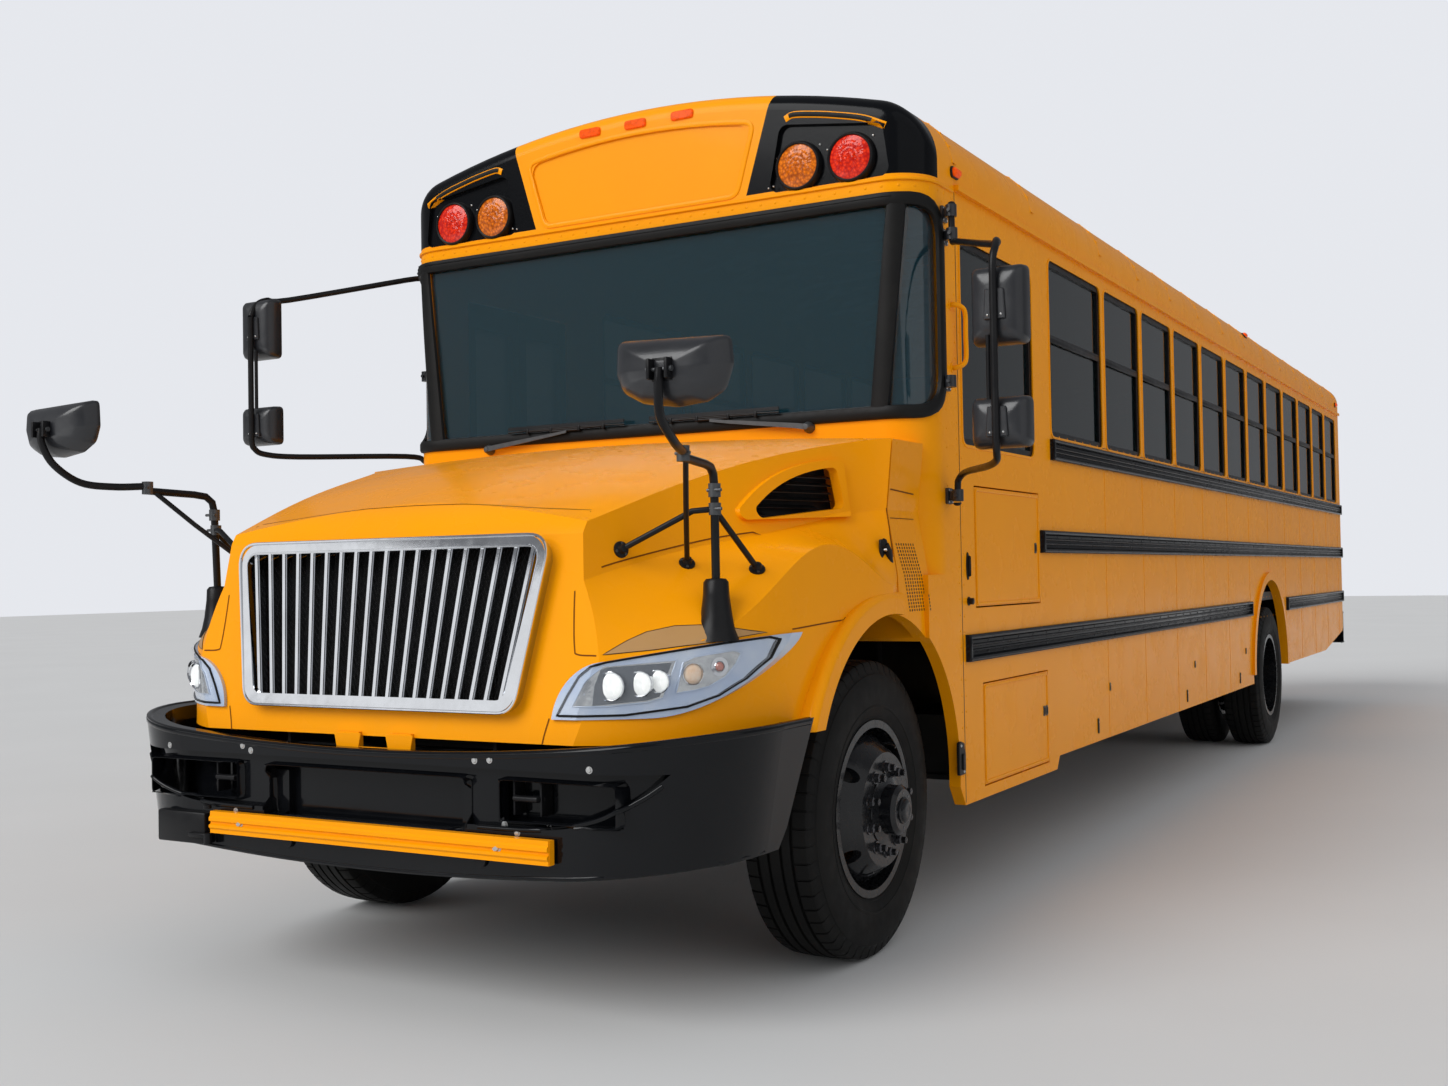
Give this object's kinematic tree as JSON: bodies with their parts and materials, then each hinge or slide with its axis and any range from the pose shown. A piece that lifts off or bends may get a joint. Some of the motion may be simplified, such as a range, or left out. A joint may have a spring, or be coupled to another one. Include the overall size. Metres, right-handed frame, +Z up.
{
  "type": "school bus",
  "caption": "Bonneted school bus with tilting hood, split entrance door, rear exit door, roof hatches, crossing arm, steered front wheels and twin rear wheels.",
  "frame": {"origin": "on the floor at the middle of the bounding box", "axes": "-Y is the way the bus faces, +X its driver's side, +Z up"},
  "size_m": [3.506, 12.54, 3.276],
  "materials": {
    "yellow_paint": "gloss",
    "black_paint": "satin",
    "engine_iron": "matte",
    "exhaust_steel": "satin",
    "floor_steel": "matte",
    "glass": "clear",
    "sash_black": "satin",
    "seat_cover": "matte",
    "dash_plastic": "matte",
    "mirror": "polished",
    "amber_lens": "gloss",
    "red_lens": "gloss",
    "clear_lens": "gloss",
    "grille_chrome": "polished",
    "rubber": "matte",
    "tyre": "matte",
    "hatch_plastic": "satin"
  },
  "bodies": {
    "body": {"frame_rails": "black_paint", "front_axle": "black_paint", "rear_axle": "black_paint", "leaf_springs": "black_paint", "engine": "engine_iron", "radiator": "engine_iron", "driveshaft": "black_paint", "fuel_tank": "black_paint", "exhaust": "exhaust_steel", "battery_box": "black_paint", "front_bumper": "black_paint", "rear_bumper": "black_paint", "floor": "floor_steel", "floor_sills": "floor_steel", "stepwell": "floor_steel", "left_wall": "yellow_paint", "right_wall": "yellow_paint", "roof": "yellow_paint", "front_cap": "yellow_paint", "cowl": "yellow_paint", "rear_wall": "yellow_paint", "windshield": "glass", "window_frames": "sash_black", "window_glass": "glass", "rub_rails": "black_paint", "seat_frames": "floor_steel", "seat_pads": "seat_cover", "dashboard": "dash_plastic", "side_mirrors": "black_paint", "mirror_glass": "mirror", "amber_lamps": "amber_lens", "red_lamps": "red_lens", "wipers": "rubber", "mud_flaps": "rubber"},
    "hood": {"hood": "yellow_paint", "grille": "grille_chrome", "headlamps": "clear_lens", "hood_mirrors": "black_paint"},
    "knuckle_left": {"knuckle_left": "black_paint"},
    "knuckle_right": {"knuckle_right": "black_paint"},
    "wheel_front_left": {"front_left_tyre": "tyre", "front_left_wheel": "black_paint"},
    "wheel_front_right": {"front_right_tyre": "tyre", "front_right_wheel": "black_paint"},
    "wheel_rear_left": {"rear_left_tyres": "tyre", "rear_left_wheels": "black_paint"},
    "wheel_rear_right": {"rear_right_tyres": "tyre", "rear_right_wheels": "black_paint"},
    "door_front": {"entrance_door_front": "yellow_paint", "entrance_glass_front": "glass"},
    "door_rear": {"entrance_door_rear": "yellow_paint", "entrance_glass_rear": "glass"},
    "rear_exit": {"rear_door": "yellow_paint", "rear_door_glass": "glass"},
    "electrical": {"electrical_door": "yellow_paint"},
    "battery": {"battery_door": "yellow_paint"},
    "arm": {"crossing_arm": "yellow_paint"},
    "hatch_front": {"roof_hatch_front": "hatch_plastic"},
    "hatch_rear": {"roof_hatch_rear": "hatch_plastic"}
  },
  "joints": [
    {"name": "steer_left", "type": "hinge", "parent": "body", "child": "knuckle_left", "pos_m": [0.89, -4.79, 0.507], "axis": [0, 0, 1], "range_deg": [-45, 45]},
    {"name": "steer_right", "type": "hinge", "parent": "body", "child": "knuckle_right", "pos_m": [-0.89, -4.79, 0.507], "axis": [0, 0, 1], "range_deg": [-45, 45]},
    {"name": "front_left_spin", "type": "hinge", "parent": "knuckle_left", "child": "wheel_front_left", "pos_m": [1.016, -4.79, 0.507], "axis": [1, 0, 0], "continuous": true},
    {"name": "front_right_spin", "type": "hinge", "parent": "knuckle_right", "child": "wheel_front_right", "pos_m": [-1.016, -4.79, 0.507], "axis": [1, 0, 0], "continuous": true},
    {"name": "rear_left_spin", "type": "hinge", "parent": "body", "child": "wheel_rear_left", "pos_m": [0.92, 2.22, 0.507], "axis": [1, 0, 0], "continuous": true},
    {"name": "rear_right_spin", "type": "hinge", "parent": "body", "child": "wheel_rear_right", "pos_m": [-0.92, 2.22, 0.507], "axis": [1, 0, 0], "continuous": true},
    {"name": "hood_tilt", "type": "hinge", "parent": "body", "child": "hood", "pos_m": [0, -5.996, 0.838], "axis": [1, 0, 0], "range_deg": [0, 70]},
    {"name": "entrance_front_swing", "type": "hinge", "parent": "body", "child": "door_front", "pos_m": [-1.224, -4.085, 1.528], "axis": [0, 0, 1], "range_deg": [0, 90]},
    {"name": "entrance_rear_swing", "type": "hinge", "parent": "body", "child": "door_rear", "pos_m": [-1.224, -3.315, 1.528], "axis": [0, 0, 1], "range_deg": [-90, 0]},
    {"name": "rear_door_swing", "type": "hinge", "parent": "body", "child": "rear_exit", "pos_m": [-0.479, 6.225, 1.76], "axis": [0, 0, 1], "range_deg": [0, 110]},
    {"name": "electrical_door_swing", "type": "hinge", "parent": "body", "child": "electrical", "pos_m": [1.224, -3.979, 1.405], "axis": [0, 0, -1], "range_deg": [0, 90]},
    {"name": "battery_door_swing", "type": "hinge", "parent": "body", "child": "battery", "pos_m": [1.224, -3.919, 0.675], "axis": [0, 0, -1], "range_deg": [0, 90]},
    {"name": "crossing_arm_swing", "type": "hinge", "parent": "body", "child": "arm", "pos_m": [-0.612, -6.084, 0.541], "axis": [0, 0, -1], "range_deg": [0, 100]},
    {"name": "hatch_front_lift", "type": "hinge", "parent": "body", "child": "hatch_front", "pos_m": [0, -1.46, 3.226], "axis": [1, 0, 0], "range_deg": [0, 80]},
    {"name": "hatch_rear_lift", "type": "hinge", "parent": "body", "child": "hatch_rear", "pos_m": [0, 3.64, 3.226], "axis": [1, 0, 0], "range_deg": [0, 80]}
  ],
  "couplings": [
    {"joint": "steer_right", "follows": "steer_left", "ratio": 1},
    {"joint": "entrance_rear_swing", "follows": "entrance_front_swing", "ratio": -1}
  ]
}
